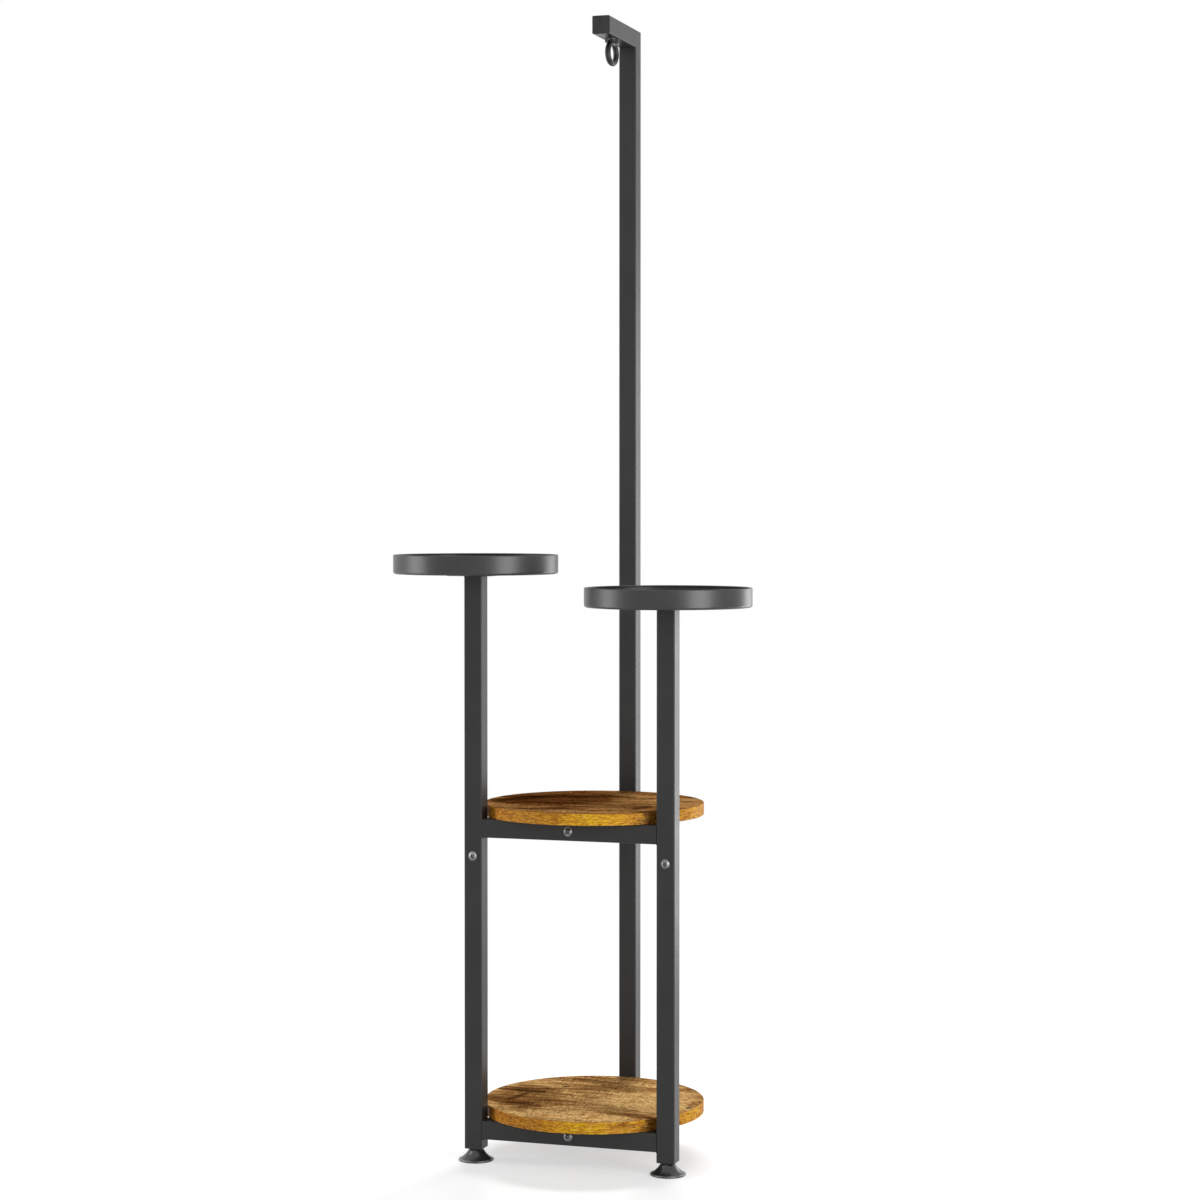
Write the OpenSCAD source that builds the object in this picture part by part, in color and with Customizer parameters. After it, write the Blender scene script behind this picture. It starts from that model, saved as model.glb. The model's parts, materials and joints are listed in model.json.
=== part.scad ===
// Three-legged plant stand with two round shelves, two trays on the front legs and a hanging arm.
// Units are millimetres, Z is up. The two front legs are at -Y, the tall post stands behind them.

/* [Tube] */
// Outer width of the square steel tube
tube_w = 25; // [22:0.5:30]
// Wall thickness of the tube
tube_wall = 1.2; // [1:0.1:2]
// Outer corner radius of the tube
tube_corner_r = 1.8; // [1.2:0.1:2.4]

/* [Frame] */
// How far the front legs' centre lines lie in from the widest points of the boards
leg_inset = 15; // [8:0.5:25]
// Overall height, floor to the top of the arm
stand_h = 1555; // [1300:5:1700]
// Overall length of the arm, from the back of the post to its front end
arm_l = 146; // [110:1:200]
// Height of the underside of the lower crossbar above the floor
lower_bar_z = 31; // [26:1:60]
// Height of the underside of the middle crossbar above the floor
middle_bar_z = 438; // [380:1:520]
// Distance from the joint in the legs up to the middle crossbar
joint_below_bar = 10; // [4:1:12]

/* [Shelves] */
// Diameter of the round shelf boards
shelf_d = 300; // [290:1:330]
// Thickness of the shelf boards
shelf_t = 16; // [15:0.5:22]
// Radius of the softened edges of the boards
shelf_edge_r = 0.8; // [0.4:0.1:2]
// Gap between a board and the three uprights that it stands between
shelf_gap = 0.5; // [0.3:0.1:2]

/* [Trays] */
// Outer diameter of the trays
tray_d = 222; // [180:1:260]
// Height of a tray, from its underside to the top of its rim
tray_h = 26; // [18:0.5:40]
// Sheet thickness of the trays
tray_wall = 1.2; // [0.8:0.1:2]
// Outer radius of the bend between a tray's floor and its rim
tray_bend_r = 3.5; // [2.4:0.1:6]
// Diameter of the curl that finishes a tray's rim
tray_curl_d = 2.6; // [2.2:0.1:4]
// Height of the underside of the left tray above the floor
left_tray_z = 792; // [650:1:900]
// Height of the underside of the right tray above the floor
right_tray_z = 750; // [650:1:900]
// Side of the square plate that is welded on each leg
mount_plate_w = 62; // [56:1:80]
// Thickness of that plate
mount_plate_t = 2.5; // [2:0.1:4]
// Spacing of the four screws in the plate
mount_hole_spacing = 44; // [42:0.5:46]

/* [Levelling feet] */
// Diameter of the foot's base
foot_d = 48; // [40:1:60]
// Height of the foot's base
foot_h = 17; // [14:0.5:22]
// Thickness of the base's rim
foot_rim_t = 2.4; // [2.2:0.1:3]
// Radius of the rim's rounded edge
foot_edge_r = 1; // [0.6:0.1:1]
// Diameter of the base's neck
foot_neck_d = 18; // [15:0.5:20]
// Radius of the hollow flare between neck and rim
foot_flare_r = 30; // [24:1:50]
// Diameter of the threaded stud
stud_d = 8; // [6:1:10]
// Length of stud that stands out of the base
stud_l = 20; // [16:0.5:22]
// Length of the threaded plug in the end of the tube
insert_l = 18; // [14:0.5:20]

/* [Hanging eye] */
// Outer diameter of the ring
eye_d = 36; // [30:1:45]
// Thickness of the ring's bar
eye_bar_d = 8; // [6:0.5:10]
// Diameter of the collar that seats under the arm
eye_collar_d = 20; // [17:0.5:24]
// Thickness of that collar
eye_collar_t = 3; // [2:0.5:5]
// Distance from the front end of the arm to the eye
eye_setback = 50; // [30:1:70]
// Angle by which the screwed-in ring stands off the line of the arm
eye_turn = -6.5; // [-12:0.5:12]
// Diameter of the eye's threaded shank
eye_shank_d = 8; // [6:1:10]
// Length of the shank
eye_shank_l = 16; // [12:0.5:18]

/* [Sleeves and plugs] */
// Length of the sleeves that join two lengths of tube
sleeve_l = 70; // [60:1:90]
// Wall thickness of the sleeves
sleeve_wall = 2; // [1.6:0.1:2.5]
// Length of the threaded plugs in the ends of the struts
plug_l = 15; // [12:0.5:20]
// Gap between a tube's inside and the piece in it
inner_gap = 0.15; // [0.1:0.05:0.3]

/* [Fasteners] */
// Thread diameter of the frame screws
screw_d = 6; // [5:0.5:6]
// Diameter of their flanged button heads
screw_head_d = 13.6; // [12:0.1:15]
// Height of those heads
screw_head_h = 3.3; // [2.5:0.1:4]
// Width across the flats of the hexagon socket
screw_socket_w = 4; // [3:0.5:5]
// Length of thread below the head of a joint screw
joint_screw_l = 10; // [8:0.5:12]
// Distance from a joint to its screws
joint_screw_offset = 15; // [12:0.5:20]
// Outer diameter of the welded nuts
nut_d = 11; // [10:0.5:12]
// Height of the welded nuts
nut_h = 5; // [4:0.5:6]
// Thread diameter of the tray screws
tray_screw_d = 5; // [4:0.5:6]
// Diameter of the tray screws' countersunk heads
tray_screw_head_d = 9.5; // [8:0.5:10]
// Shank diameter of the wood screws
wood_screw_d = 4; // [3:0.5:5]
// Diameter of the wood screws' heads
wood_screw_head_d = 8; // [7:0.5:9]
// Height of the wood screws' heads
wood_screw_head_h = 2.4; // [2:0.1:3]
// Depth that the wood screws reach into a board
wood_screw_bite = 11; // [8:0.5:12]
// Distance of the crossbars' wood screws from the middle
bar_screw_x = 70; // [40:1:90]
// Play around a screw in a plain hole
hole_play = 0.3; // [0.2:0.05:0.5]
// Play around a thread in its nut
thread_play = 0.05; // [0.02:0.01:0.1]

/* [Hidden] */
$fn = 64;
over = 1; // how far a cut runs past a face

black_steel = "#3b3b3a";
black_plastic = "#262626";
zinc = "#b9bbbd";
board_brown = "#a87738";

half = tube_w / 2;
bore_w = tube_w - 2 * tube_wall;     // inside width of the tube
inner_w = bore_w - 2 * inner_gap;    // outside width of what slides into it
inner_r = max(tube_corner_r - tube_wall, 0.4) + inner_gap;
shelf_r = shelf_d / 2;
tray_r = tray_d / 2;

// The board clears the inner back corners of the legs and the front of the post by the same gap.
leg_x = shelf_r - leg_inset;
shelf_from_legs = half + sqrt(pow(shelf_r + shelf_gap, 2) - pow(leg_x - half, 2));
post_from_legs = shelf_from_legs + shelf_r + shelf_gap + half;

// The origin is on the floor, in the middle of the whole stand's outline.
back_reach = max(foot_d / 2, half + screw_head_h);
leg_y = (tray_r - post_from_legs - back_reach) / 2;
post_y = leg_y + post_from_legs;
shelf_y = leg_y + shelf_from_legs;
bar_back_y = leg_y + half;
post_front_y = post_y - half;
strut_l = post_front_y - bar_back_y;

// Heights
tube_end_z = foot_h + 0.2;           // the base stops just short of the tube's end
lower_mid_z = lower_bar_z + half;
middle_mid_z = middle_bar_z + half;
joint_z = middle_bar_z - joint_below_bar;
post_step = (stand_h - joint_z) / 3;
seam_z = [joint_z, joint_z + post_step, joint_z + 2 * post_step];
arm_mid_z = stand_h - half;
arm_under_z = stand_h - tube_w;

arm_front_y = post_y + half - arm_l;
cap_flange_t = 1.5;
cap_plug_l = 12;
cap_wall = 1.6;
eye_y = arm_front_y + eye_setback;
rivet_flange_t = 1;
rivet_flange_d = 16;
rivet_wall = 1.5;
eye_mid_z = arm_under_z - rivet_flange_t - eye_d / 2;

plug_spare_l = 1;                    // part of a strut plug that its screw leaves free
strut_screw_l = tube_w + plug_l - plug_spare_l;
tray_screw_head_h = (tray_screw_head_d - tray_screw_d) / 2; // a right-angled cone
tray_screw_socket_w = 3;
strut_screw_inset = 45;              // from a strut's end to its nearest wood screw
strut_wood_screw_y = [bar_back_y + strut_screw_inset, post_front_y - strut_screw_inset];
wood_access_d = wood_screw_head_d + 2;
mount_corner_r = 5;
foot_lip_w = 0.5;                    // flat between the flare and the rounded edge
sole_w = 3;
sole_recess = 1.2;

// ---------- Shapes that repeat ----------

// Square with rounded corners, centred
module rounded_square(w, r) {
    square([w - 2 * r, w], center = true);
    square([w, w - 2 * r], center = true);
    for (x = [-1, 1], y = [-1, 1])
        translate([x * (w / 2 - r), y * (w / 2 - r)]) circle(r = r);
}

// Square tube that stands on z = 0
module tube(l) {
    linear_extrude(l) difference() {
        rounded_square(tube_w, tube_corner_r);
        rounded_square(bore_w, max(tube_corner_r - tube_wall, 0.4));
    }
}

// Rounded block that slides into a tube and stands on z = 0
module inner_block(l) {
    linear_extrude(l) rounded_square(inner_w, inner_r);
}

// Upright tube between two heights
module upright(x, y, z0, z1) {
    translate([x, y, z0]) tube(z1 - z0);
}

// Hole that runs along Y, centred on a point
module hole_y(x, y, z, d, l = tube_w + 2 * over) {
    translate([x, y, z]) rotate([90, 0, 0]) cylinder(d = d, h = l, center = true);
}

// Flanged button-head screw. Its head stands on z = 0 and its shank points down.
module button_screw(d, head_d, head_h, shank_l, socket_w) {
    flange_t = head_h * 0.25;
    dome_r = head_d * 0.4;
    difference() {
        union() {
            cylinder(d = head_d, h = flange_t);
            rotate_extrude() intersection() {
                translate([0, head_h - head_d * 0.55]) circle(r = head_d * 0.55);
                square([dome_r, head_h]);
            }
            translate([0, 0, -shank_l]) cylinder(d = d, h = shank_l + flange_t / 2);
        }
        translate([0, 0, head_h * 0.35]) cylinder(d = socket_w / cos(30), h = head_h, $fn = 6);
    }
}

// Countersunk screw. Its head ends at z = 0 and its shank points down.
module countersunk_screw(d, head_d, head_h, shank_l, socket_w) {
    difference() {
        union() {
            translate([0, 0, -head_h]) cylinder(d1 = d, d2 = head_d, h = head_h);
            translate([0, 0, -shank_l]) cylinder(d = d, h = shank_l - head_h / 2);
        }
        translate([0, 0, -head_h * 0.7]) cylinder(d = socket_w / cos(30), h = head_h, $fn = 6);
    }
}

// Frame screw
module frame_screw(shank_l) {
    button_screw(screw_d, screw_head_d, screw_head_h, shank_l, screw_socket_w);
}

// Frame screw whose head lies on a front face
module screw_from_front(x, y, z, shank_l) {
    translate([x, y, z]) rotate([90, 0, 0]) frame_screw(shank_l);
}

// Frame screw whose head lies on a back face
module screw_from_back(x, y, z, shank_l) {
    translate([x, y, z]) rotate([-90, 0, 0]) frame_screw(shank_l);
}

// Sleeve inside a joint at height z. Each screw is [height, side], and side is -1 for one from the front.
// Each plain hole is a height at which a strut screw passes right through.
module sleeve(x, y, z, screws, plain_holes = []) {
    wall_y = inner_w / 2 - sleeve_wall;
    color(zinc) difference() {
        union() {
            translate([x, y, z - sleeve_l / 2]) linear_extrude(sleeve_l) difference() {
                rounded_square(inner_w, inner_r);
                rounded_square(inner_w - 2 * sleeve_wall, inner_r);
            }
            for (s = screws)
                translate([x, y + s[1] * (wall_y - nut_h / 2 + sleeve_wall / 4), s[0]])
                    rotate([90, 0, 0]) cylinder(d = nut_d, h = nut_h + sleeve_wall / 2, center = true);
        }
        for (s = screws)
            hole_y(x, y + s[1] * inner_w / 4, s[0], screw_d + 2 * thread_play, inner_w / 2 + over);
        for (h = plain_holes)
            hole_y(x, y, h, screw_d + 2 * hole_play);
    }
}

// ---------- Front legs ----------

module leg_lower(x) {
    color(black_steel) difference() {
        upright(x, leg_y, tube_end_z, joint_z);
        hole_y(x, leg_y - half, joint_z - joint_screw_offset, screw_d + 2 * hole_play, half);
    }
}

module leg_upper(x, tray_z) {
    color(black_steel) upright(x, leg_y, joint_z, tray_z - mount_plate_t);
}

module leg_sleeve(x) {
    sleeve(x, leg_y, joint_z, [[joint_z - joint_screw_offset, -1]]);
}

module leg_screws() {
    color(zinc) for (x = [-leg_x, leg_x])
        screw_from_front(x, leg_y - half, joint_z - joint_screw_offset, joint_screw_l);
}

module leg_lower_left() { leg_lower(-leg_x); }
module leg_lower_right() { leg_lower(leg_x); }
module leg_upper_left() { leg_upper(-leg_x, left_tray_z); }
module leg_upper_right() { leg_upper(leg_x, right_tray_z); }
module leg_sleeve_left() { leg_sleeve(-leg_x); }
module leg_sleeve_right() { leg_sleeve(leg_x); }

// ---------- Crossbars and struts ----------

// Holes for a wood screw: a small one in the upper wall and an access hole in the lower wall
module wood_screw_holes(x, y, bar_z) {
    translate([x, y, bar_z + half]) cylinder(d = wood_screw_d + 2 * hole_play, h = half + over);
    translate([x, y, bar_z - over]) cylinder(d = wood_access_d, h = half);
}

module crossbar(bar_z) {
    color(black_steel) difference() {
        translate([-leg_x + half, leg_y, bar_z + half]) rotate([90, 0, 90]) tube(2 * leg_x - tube_w);
        hole_y(0, leg_y, bar_z + half, screw_d + 2 * hole_play);
        for (x = [-bar_screw_x, bar_screw_x]) wood_screw_holes(x, leg_y, bar_z);
    }
}

module strut(bar_z) {
    color(black_steel) difference() {
        translate([0, post_front_y, bar_z + half]) rotate([90, 0, 0]) tube(strut_l);
        for (y = strut_wood_screw_y) wood_screw_holes(0, y, bar_z);
    }
}

// Threaded plug in the end of a strut, which starts at y and runs towards +Y
module strut_plug(y, mid_z) {
    color(zinc) difference() {
        translate([0, y + plug_l, mid_z]) rotate([90, 0, 0]) inner_block(plug_l);
        hole_y(0, y + plug_l / 2, mid_z, screw_d + 2 * thread_play, plug_l + 2 * over);
    }
}

module crossbar_lower() { crossbar(lower_bar_z); }
module crossbar_middle() { crossbar(middle_bar_z); }
module strut_lower() { strut(lower_bar_z); }
module strut_middle() { strut(middle_bar_z); }
module strut_plug_lower_front() { strut_plug(bar_back_y, lower_mid_z); }
module strut_plug_lower_rear() { strut_plug(post_front_y - plug_l, lower_mid_z); }
module strut_plug_middle_front() { strut_plug(bar_back_y, middle_mid_z); }
module strut_plug_middle_rear() { strut_plug(post_front_y - plug_l, middle_mid_z); }

module strut_screws_front() {
    color(zinc) for (z = [lower_mid_z, middle_mid_z])
        screw_from_front(0, leg_y - half, z, strut_screw_l);
}

module strut_screws_rear() {
    color(zinc) for (z = [lower_mid_z, middle_mid_z])
        screw_from_back(0, post_y + half, z, strut_screw_l);
}

// ---------- Rear post and arm ----------

// Length of the post, with screw holes in its back wall and holes right through for the struts
module post_length(z0, z1, back_holes, through_holes = []) {
    color(black_steel) difference() {
        upright(0, post_y, z0, z1);
        for (z = back_holes) hole_y(0, post_y + half, z, screw_d + 2 * hole_play, half);
        for (z = through_holes) hole_y(0, post_y, z, screw_d + 2 * hole_play);
    }
}

// Everything on the far side of the mitre plane at the post's top: side is 1 above it and -1 below it
module mitre_cut(side) {
    translate([0, post_y, arm_mid_z]) rotate([45, 0, 0])
        translate([0, 0, side * tube_w]) cube([2 * tube_w, 4 * tube_w, 2 * tube_w], center = true);
}

module post_lower() {
    post_length(tube_end_z, seam_z[0], [seam_z[0] - joint_screw_offset], [lower_mid_z]);
}

module post_second() {
    post_length(seam_z[0], seam_z[1], [seam_z[1] - joint_screw_offset], [middle_mid_z]);
}

module post_third() {
    post_length(seam_z[1], seam_z[2], [seam_z[1] + joint_screw_offset, seam_z[2] - joint_screw_offset]);
}

module post_top() {
    difference() {
        post_length(seam_z[2], stand_h, [seam_z[2] + joint_screw_offset]);
        color(black_steel) mitre_cut(1);
    }
}

module arm() {
    color(black_steel) difference() {
        translate([0, post_y + half, arm_mid_z]) rotate([90, 0, 0]) tube(arm_l - cap_flange_t);
        mitre_cut(-1);
        translate([0, eye_y, arm_under_z - over])
            cylinder(d = eye_shank_d + 2 * rivet_wall + 2 * hole_play, h = half);
    }
}

module arm_end_cap() {
    color(black_plastic) translate([0, arm_front_y, arm_mid_z]) rotate([-90, 0, 0]) difference() {
        union() {
            linear_extrude(cap_flange_t) rounded_square(tube_w, tube_corner_r);
            inner_block(cap_flange_t + cap_plug_l);
        }
        translate([0, 0, cap_flange_t]) linear_extrude(cap_plug_l + over)
            rounded_square(inner_w - 2 * cap_wall, inner_r);
    }
}

module post_sleeve_lower() {
    sleeve(0, post_y, seam_z[0], [[seam_z[0] - joint_screw_offset, 1]], [middle_mid_z]);
}

module post_sleeve_middle() {
    sleeve(0, post_y, seam_z[1], [for (s = [-1, 1]) [seam_z[1] + s * joint_screw_offset, 1]]);
}

module post_sleeve_upper() {
    sleeve(0, post_y, seam_z[2], [for (s = [-1, 1]) [seam_z[2] + s * joint_screw_offset, 1]]);
}

module post_screws() {
    heights = [
        seam_z[0] - joint_screw_offset,
        seam_z[1] - joint_screw_offset, seam_z[1] + joint_screw_offset,
        seam_z[2] - joint_screw_offset, seam_z[2] + joint_screw_offset
    ];
    color(zinc) for (z = heights) screw_from_back(0, post_y + half, z, joint_screw_l);
}

// ---------- Hanging eye ----------

module hook_eye() {
    ring_r = (eye_d - eye_bar_d) / 2;
    seat_z = arm_under_z - rivet_flange_t;
    color(black_steel) union() {
        translate([0, eye_y, eye_mid_z]) rotate([0, 90, eye_turn])
            rotate_extrude() translate([ring_r, 0]) circle(d = eye_bar_d);
        translate([0, eye_y, seat_z - eye_collar_t]) cylinder(d = eye_collar_d, h = eye_collar_t);
        translate([0, eye_y, seat_z - eye_bar_d / 2])
            cylinder(d1 = eye_bar_d, d2 = eye_collar_d, h = eye_bar_d / 2 - eye_collar_t / 2);
        translate([0, eye_y, seat_z - eye_collar_t / 2])
            cylinder(d = eye_shank_d, h = eye_shank_l + eye_collar_t / 2);
    }
}

module eye_insert() {
    body_l = eye_shank_l - rivet_flange_t + 2;
    color(zinc) translate([0, eye_y, arm_under_z - rivet_flange_t]) difference() {
        union() {
            cylinder(d = rivet_flange_d, h = rivet_flange_t);
            cylinder(d = eye_shank_d + 2 * rivet_wall, h = body_l);
        }
        translate([0, 0, -over]) cylinder(d = eye_shank_d + 2 * thread_play, h = body_l + 2 * over);
    }
}

// ---------- Shelves ----------

// Places of a board's wood screws
function wood_screw_points() = concat(
    [for (x = [-bar_screw_x, bar_screw_x]) [x, leg_y]],
    [for (y = strut_wood_screw_y) [0, y]]
);

module board_profile() {
    r = shelf_edge_r;
    square([shelf_r - r, shelf_t]);
    translate([0, r]) square([shelf_r, shelf_t - 2 * r]);
    for (z = [r, shelf_t - r]) translate([shelf_r - r, z]) circle(r = r, $fn = 32);
}

module shelf(bar_z) {
    color(board_brown) difference() {
        translate([0, shelf_y, bar_z + tube_w]) rotate_extrude($fn = 128) board_profile();
        for (p = wood_screw_points())
            translate([p[0], p[1], bar_z + tube_w - over])
                cylinder(d = wood_screw_d + 2 * thread_play, h = wood_screw_bite + 2 * over);
    }
}

module wood_screw() {
    cylinder(d = wood_screw_d, h = tube_wall + wood_screw_bite);
    difference() {
        translate([0, 0, -wood_screw_head_h]) cylinder(d = wood_screw_head_d, h = wood_screw_head_h);
        for (a = [0, 90]) rotate([0, 0, a])
            translate([0, 0, -wood_screw_head_h])
                cube([wood_screw_head_d * 0.6, 1, wood_screw_head_h], center = true);
    }
}

module shelf_lower() { shelf(lower_bar_z); }
module shelf_middle() { shelf(middle_bar_z); }

module shelf_screws() {
    color(zinc) for (bar_z = [lower_bar_z, middle_bar_z], p = wood_screw_points())
        translate([p[0], p[1], bar_z + tube_w - tube_wall]) wood_screw();
}

// ---------- Trays ----------

// Places of the four screws about a leg's centre line
function mount_points() = [
    for (x = [-1, 1], y = [-1, 1]) [x * mount_hole_spacing / 2, y * mount_hole_spacing / 2]
];

// Half section of a pressed tray: floor, bend, upright wall and the curl along its rim
module tray_profile() {
    bend_in_r = tray_bend_r - tray_wall;
    curl_r = tray_curl_d / 2;
    square([tray_r - tray_bend_r, tray_wall]);
    translate([tray_r - tray_wall, tray_bend_r]) square([tray_wall, tray_h - tray_bend_r - curl_r]);
    translate([tray_r - tray_bend_r, tray_bend_r]) intersection() {
        difference() {
            circle(r = tray_bend_r);
            circle(r = bend_in_r);
        }
        translate([0, -tray_bend_r]) square(tray_bend_r);
    }
    translate([tray_r - curl_r, tray_h - curl_r]) circle(r = curl_r);
}

// Countersunk hole for a tray screw. It starts at z = 0 and runs down.
module tray_screw_hole() {
    wide = tray_screw_head_d + 2 * thread_play;
    narrow = tray_screw_d + 2 * thread_play;
    depth = tray_wall + mount_plate_t + over;
    cylinder(d = wide, h = over);
    translate([0, 0, -tray_screw_head_h]) cylinder(d1 = narrow, d2 = wide, h = tray_screw_head_h);
    translate([0, 0, -depth]) cylinder(d = narrow, h = depth);
}

module tray(x, z) {
    color(black_steel) translate([x, leg_y, z]) difference() {
        rotate_extrude($fn = 128) tray_profile();
        for (p = mount_points()) translate([p[0], p[1], tray_wall]) tray_screw_hole();
    }
}

module tray_mount(x, z) {
    color(black_steel) translate([x, leg_y, z]) difference() {
        translate([0, 0, -mount_plate_t]) linear_extrude(mount_plate_t)
            rounded_square(mount_plate_w, mount_corner_r);
        for (p = mount_points()) translate([p[0], p[1], tray_wall]) tray_screw_hole();
    }
}

module tray_left() { tray(-leg_x, left_tray_z); }
module tray_right() { tray(leg_x, right_tray_z); }
module tray_mount_left() { tray_mount(-leg_x, left_tray_z); }
module tray_mount_right() { tray_mount(leg_x, right_tray_z); }

module tray_screws() {
    color(zinc) for (t = [[-leg_x, left_tray_z], [leg_x, right_tray_z]], p = mount_points())
        translate([t[0] + p[0], leg_y + p[1], t[1] + tray_wall])
            countersunk_screw(tray_screw_d, tray_screw_head_d, tray_screw_head_h,
                tray_wall + mount_plate_t, tray_screw_socket_w);
}

// ---------- Levelling feet ----------

module foot_insert(x, y) {
    color(black_plastic) translate([x, y, tube_end_z]) difference() {
        inner_block(insert_l);
        translate([0, 0, -over]) cylinder(d = stud_d + 2 * thread_play, h = insert_l + 2 * over);
    }
}

// The stud starts in a socket in the base
module foot_stud(x, y) {
    color(zinc) translate([x, y, foot_h / 2]) cylinder(d = stud_d, h = foot_h / 2 + stud_l);
}

// Half section of the base's rim, with a rounded edge and a sole that is a ring
module foot_rim_profile() {
    edge_x = foot_d / 2 - foot_edge_r;
    polygon([[0, sole_recess], [0, foot_rim_t], [edge_x, foot_rim_t], [edge_x, 0], [edge_x - sole_w, 0],
        [edge_x - sole_w - sole_recess, sole_recess]]);
    translate([edge_x - foot_edge_r, foot_edge_r]) square([2 * foot_edge_r, foot_rim_t - 2 * foot_edge_r]);
    for (z = [foot_edge_r, foot_rim_t - foot_edge_r]) translate([edge_x, z]) circle(r = foot_edge_r, $fn = 32);
}

// Half section of the hollow flare between the base's neck and its rim
module foot_flare_profile() {
    from = [foot_neck_d / 2, foot_h];
    to = [foot_d / 2 - foot_edge_r - foot_lip_w, foot_rim_t];
    chord = to - from;
    chord_l = norm(chord);
    normal = [-chord[1], chord[0]] / chord_l;
    centre = (from + to) / 2 + normal * sqrt(pow(foot_flare_r, 2) - pow(chord_l / 2, 2));
    flare_base_z = foot_rim_t * 0.75;
    difference() {
        polygon([[0, flare_base_z], [0, foot_h], from, [to[0], foot_h], to, [to[0], flare_base_z]]);
        translate(centre) circle(r = foot_flare_r, $fn = 128);
    }
}

module foot_base(x, y) {
    color(black_plastic) translate([x, y, 0]) difference() {
        union() {
            rotate_extrude($fn = 96) foot_rim_profile();
            rotate_extrude($fn = 96) foot_flare_profile();
        }
        translate([0, 0, foot_h / 2]) cylinder(d = stud_d + 2 * thread_play, h = foot_h);
    }
}

module foot_insert_left() { foot_insert(-leg_x, leg_y); }
module foot_insert_right() { foot_insert(leg_x, leg_y); }
module foot_insert_rear() { foot_insert(0, post_y); }
module foot_stud_left() { foot_stud(-leg_x, leg_y); }
module foot_stud_right() { foot_stud(leg_x, leg_y); }
module foot_stud_rear() { foot_stud(0, post_y); }
module foot_base_left() { foot_base(-leg_x, leg_y); }
module foot_base_right() { foot_base(leg_x, leg_y); }
module foot_base_rear() { foot_base(0, post_y); }

// ---------- Assembly ----------

leg_lower_left();
leg_lower_right();
leg_upper_left();
leg_upper_right();
crossbar_lower();
crossbar_middle();
post_lower();
post_second();
post_third();
post_top();
arm();
arm_end_cap();
strut_lower();
strut_middle();
leg_sleeve_left();
leg_sleeve_right();
post_sleeve_lower();
post_sleeve_middle();
post_sleeve_upper();
strut_plug_lower_front();
strut_plug_lower_rear();
strut_plug_middle_front();
strut_plug_middle_rear();
shelf_lower();
shelf_middle();
tray_left();
tray_right();
tray_mount_left();
tray_mount_right();
hook_eye();
eye_insert();
strut_screws_front();
strut_screws_rear();
leg_screws();
post_screws();
tray_screws();
shelf_screws();
foot_insert_left();
foot_insert_right();
foot_insert_rear();
foot_stud_left();
foot_stud_right();
foot_stud_rear();
foot_base_left();
foot_base_right();
foot_base_rear();
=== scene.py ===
"""Three-legged plant stand: black powder-coated tube, rustic round boards, two trays and a hanging eye.

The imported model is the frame. This script dresses its pieces with finishes, adds the fine metalwork
(weld beads, threaded studs and the forged eye) and sets up the floor, the lights and the camera.
Lengths are in metres, Z is up and the two front legs are at -Y.
"""

import json
import logging
import math
from dataclasses import dataclass, field
from enum import Enum

import bpy
from mathutils import Matrix, Vector

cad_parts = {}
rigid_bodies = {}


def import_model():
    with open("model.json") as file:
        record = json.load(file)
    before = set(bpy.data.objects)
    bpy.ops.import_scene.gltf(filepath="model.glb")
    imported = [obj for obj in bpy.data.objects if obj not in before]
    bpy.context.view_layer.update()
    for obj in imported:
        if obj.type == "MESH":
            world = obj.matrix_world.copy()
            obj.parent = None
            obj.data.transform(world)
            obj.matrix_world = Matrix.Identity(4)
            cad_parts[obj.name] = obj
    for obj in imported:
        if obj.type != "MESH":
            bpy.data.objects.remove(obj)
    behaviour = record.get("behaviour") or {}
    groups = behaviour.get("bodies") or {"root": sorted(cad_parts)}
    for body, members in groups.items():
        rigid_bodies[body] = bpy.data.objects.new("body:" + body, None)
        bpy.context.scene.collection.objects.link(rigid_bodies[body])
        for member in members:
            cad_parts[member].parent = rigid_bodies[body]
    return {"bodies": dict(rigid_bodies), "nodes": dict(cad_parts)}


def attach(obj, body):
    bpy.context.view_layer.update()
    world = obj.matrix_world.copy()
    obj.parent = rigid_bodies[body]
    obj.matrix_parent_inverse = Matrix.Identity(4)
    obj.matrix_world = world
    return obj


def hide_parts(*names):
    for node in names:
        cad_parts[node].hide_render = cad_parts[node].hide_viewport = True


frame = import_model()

log = logging.getLogger("plant_stand")

Colour = tuple[float, float, float]
Point = tuple[float, float, float]
Pair = tuple[float, float]
# Where a soft step begins and ends and, unless they are 0 and 1, the results there.
Span = tuple[float, ...]
Socket = bpy.types.NodeSocket
Object = bpy.types.Object
Material = bpy.types.Material

MM = 0.001
# The middle of a noise, which holds nearly all of it.
MIDST: Span = (0.3, 0.7)
# A cell so long that its axis doesn't count.
ENDLESS = 1000.0
# The middles of the legs, the post and the boards.
LEG_X = 135 * MM
LEG_Y = -87.965 * MM
POST_Y = 174.965 * MM
BOARD_Y = 11.965 * MM


class Body(Enum):
    """The moving bodies that a piece can ride on."""

    STAND = "stand"
    LEFT_SCREW = "foot_left_screw"
    RIGHT_SCREW = "foot_right_screw"
    REAR_SCREW = "foot_rear_screw"


class Slot(Enum):
    """The record's finishes that the new pieces take."""

    TUBE = "black_powder_coat"
    EYE = "black_eye"
    ZINC = "zinc_steel"


# ---- finishes


class Stain(Enum):
    """What a stroke does to the colour under it. Most are stains; BROWN, UMBER and GILD also lay painted
    shadows and painted highlights.
    """

    BROWN = (0.42, 0.32, 0.24)
    UMBER = (0.17, 0.115, 0.085)
    SOOT = (0.17, 0.18, 0.21)
    RUSSET = (0.8, 0.6, 0.48)
    BLEACH = (1.4, 1.45, 1.46)
    GILD = (1.2, 1.34, 0.82)


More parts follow.
